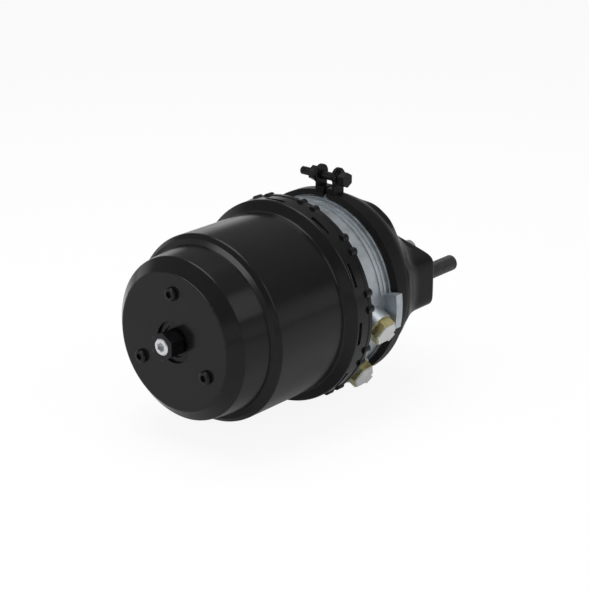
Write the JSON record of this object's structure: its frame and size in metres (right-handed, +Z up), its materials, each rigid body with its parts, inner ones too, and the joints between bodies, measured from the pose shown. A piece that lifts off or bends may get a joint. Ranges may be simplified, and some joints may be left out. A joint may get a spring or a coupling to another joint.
{
  "type": "spring brake actuator",
  "caption": "Round air brake actuator with a spring parking chamber, a diaphragm service chamber, side air ports, a V clamp and mounting studs for a disc brake.",
  "frame": {"origin": "centre of the mounting face, between the two studs, on the push rod's axis", "axes": "+X out of the mounting face along the push rod, +Y along the line of the studs, +Z up towards the clamp's ears"},
  "size_m": [0.3729, 0.2103, 0.2223],
  "materials": {
    "black_paint_gloss": "gloss black paint",
    "black_paint_satin": "satin black paint",
    "black_zinc": "black plated",
    "bright_steel": "bright turned",
    "spring_steel": "coated spring steel",
    "cast_aluminium": "as cast",
    "black_rubber": "matt",
    "grey_plastic": "matt",
    "yellow_zinc": "yellow passivated",
    "pale_zinc": "satin pale grey"
  },
  "bodies": {
    "housing": {"spring_housing": "black_paint_gloss", "face_screws": "black_zinc", "release_guide": "black_zinc", "release_guide_seal": "black_rubber", "power_spring": "spring_steel", "intermediate_flange": "cast_aluminium", "flange_seal": "black_rubber", "tube_guide_bush": "grey_plastic", "tube_seals": "black_rubber", "port_plugs": "yellow_zinc", "plug_caps": "pale_zinc", "diaphragm": "black_rubber", "return_spring": "spring_steel", "service_housing": "black_paint_satin", "face_seal_ring": "black_rubber", "rod_gaiter": "black_rubber", "mounting_studs": "black_zinc", "clamp_band": "black_paint_satin", "clamp_bolt": "black_zinc", "clamp_nut": "black_zinc"},
    "release_carrier": {"release_thrust_washer": "bright_steel"},
    "release_screw": {"release_bolt": "black_zinc", "indicator_pin": "bright_steel", "release_thrust_nut": "bright_steel"},
    "piston": {"spring_piston": "cast_aluminium", "piston_seal": "black_rubber", "piston_guide_ring": "grey_plastic", "spring_seat_ring": "grey_plastic", "piston_tube": "bright_steel", "tube_thrust_plate": "bright_steel", "tube_thrust_screw": "black_zinc"},
    "push_rod_assembly": {"push_plate": "bright_steel", "push_rod": "bright_steel"}
  },
  "joints": [
    {"name": "piston_travel", "type": "slide", "parent": "housing", "child": "piston", "axis": [-1, 0, 0], "range_m": [0, 0.057], "deforming": ["power_spring"]},
    {"name": "push_rod_travel", "type": "slide", "parent": "housing", "child": "push_rod_assembly", "axis": [-1, 0, 0], "range_m": [0, 0.057], "deforming": ["return_spring", "diaphragm", "rod_gaiter"]},
    {"name": "release_travel", "type": "slide", "parent": "housing", "child": "release_carrier", "axis": [-1, 0, 0], "range_m": [0, 0.057]},
    {"name": "release_turn", "type": "hinge", "parent": "release_carrier", "child": "release_screw", "pos_m": [-0.288, 0, 0], "axis": [-1, 0, 0], "range_deg": [0, 6840]}
  ],
  "couplings": [
    {"joint": "push_rod_travel", "follows": "piston_travel", "ratio": 1},
    {"joint": "release_travel", "follows": "piston_travel", "ratio": 1},
    {"joint": "release_turn", "follows": "piston_travel", "rad_per_m": 2094.4}
  ]
}
